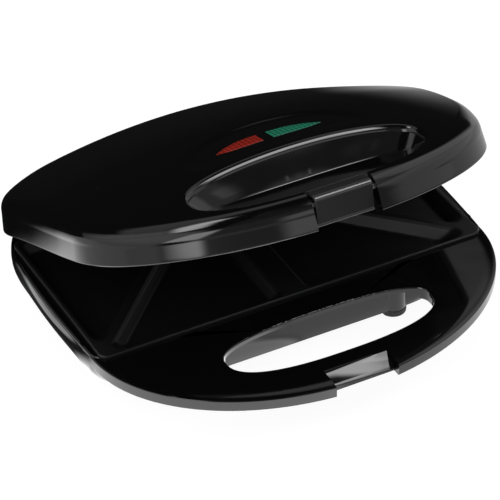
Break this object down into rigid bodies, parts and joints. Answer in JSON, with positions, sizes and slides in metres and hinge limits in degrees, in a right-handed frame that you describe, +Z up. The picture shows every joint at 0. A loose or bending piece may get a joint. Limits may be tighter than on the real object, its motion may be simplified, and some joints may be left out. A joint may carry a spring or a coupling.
{
  "type": "sandwich toaster",
  "caption": "Hinged sandwich toaster standing open: glossy shells with hand slots, non-stick plates with triangular pockets, light windows and a swinging clip.",
  "frame": {"origin": "bottom centre of the part's box with the lid standing open, on the surface that the feet stand on", "axes": "+Z up, +X to the right as seen from the front handle, +Y towards the hinge at the rear"},
  "size_m": [0.2434, 0.227, 0.1332],
  "materials": {
    "shell_black": "polished black moulding",
    "cover_black": "plain black plate",
    "nonstick": "cast aluminium with a dark non-stick coating",
    "element_steel": "heat-tinted sheath",
    "sheet_steel": "bright sheet",
    "steel": "plated steel",
    "pin_steel": "ground steel rod",
    "ceramic": "off-white heat-proof moulding",
    "wire_sleeve": "glass-fibre sleeve",
    "rubber": "black rubber",
    "red_lens": "clear red moulding",
    "green_lens": "clear green moulding",
    "lamp_glass": "small glass lamp"
  },
  "bodies": {
    "base": {"base_shell": "shell_black", "bottom_cover": "cover_black", "lower_plate": "nonstick", "lower_element": "element_steel", "lower_reflector": "sheet_steel", "lower_element_clamp": "steel", "thermal_fuse": "steel", "terminal_block": "ceramic", "base_wiring": "wire_sleeve", "cord_gland": "rubber", "front_feet": "rubber", "rear_feet": "rubber", "base_screws": "steel", "hinge_pin_left": "pin_steel", "hinge_pin_right": "pin_steel"},
    "lid": {"lid_frame": "shell_black", "lid_cover": "shell_black", "upper_plate": "nonstick", "upper_element": "element_steel", "upper_reflector": "sheet_steel", "upper_element_clamp": "steel", "upper_plate_screws": "steel", "thermostat": "ceramic", "red_lens": "red_lens", "green_lens": "green_lens", "red_lamp": "lamp_glass", "green_lamp": "lamp_glass", "lamp_holder": "ceramic", "lid_screws": "steel", "latch_pin": "pin_steel"},
    "clip": {"latch_clip": "shell_black"}
  },
  "joints": [
    {"name": "lid_hinge", "type": "hinge", "parent": "base", "child": "lid", "pos_m": [0, 0.09789, 0.031], "axis": [-1, 0, 0], "range_deg": [-24.2, 75.8]},
    {"name": "clip_swing", "type": "hinge", "parent": "lid", "child": "clip", "pos_m": [0, -0.08355, 0.12712], "axis": [-1, 0, 0], "range_deg": [0, 60]}
  ]
}
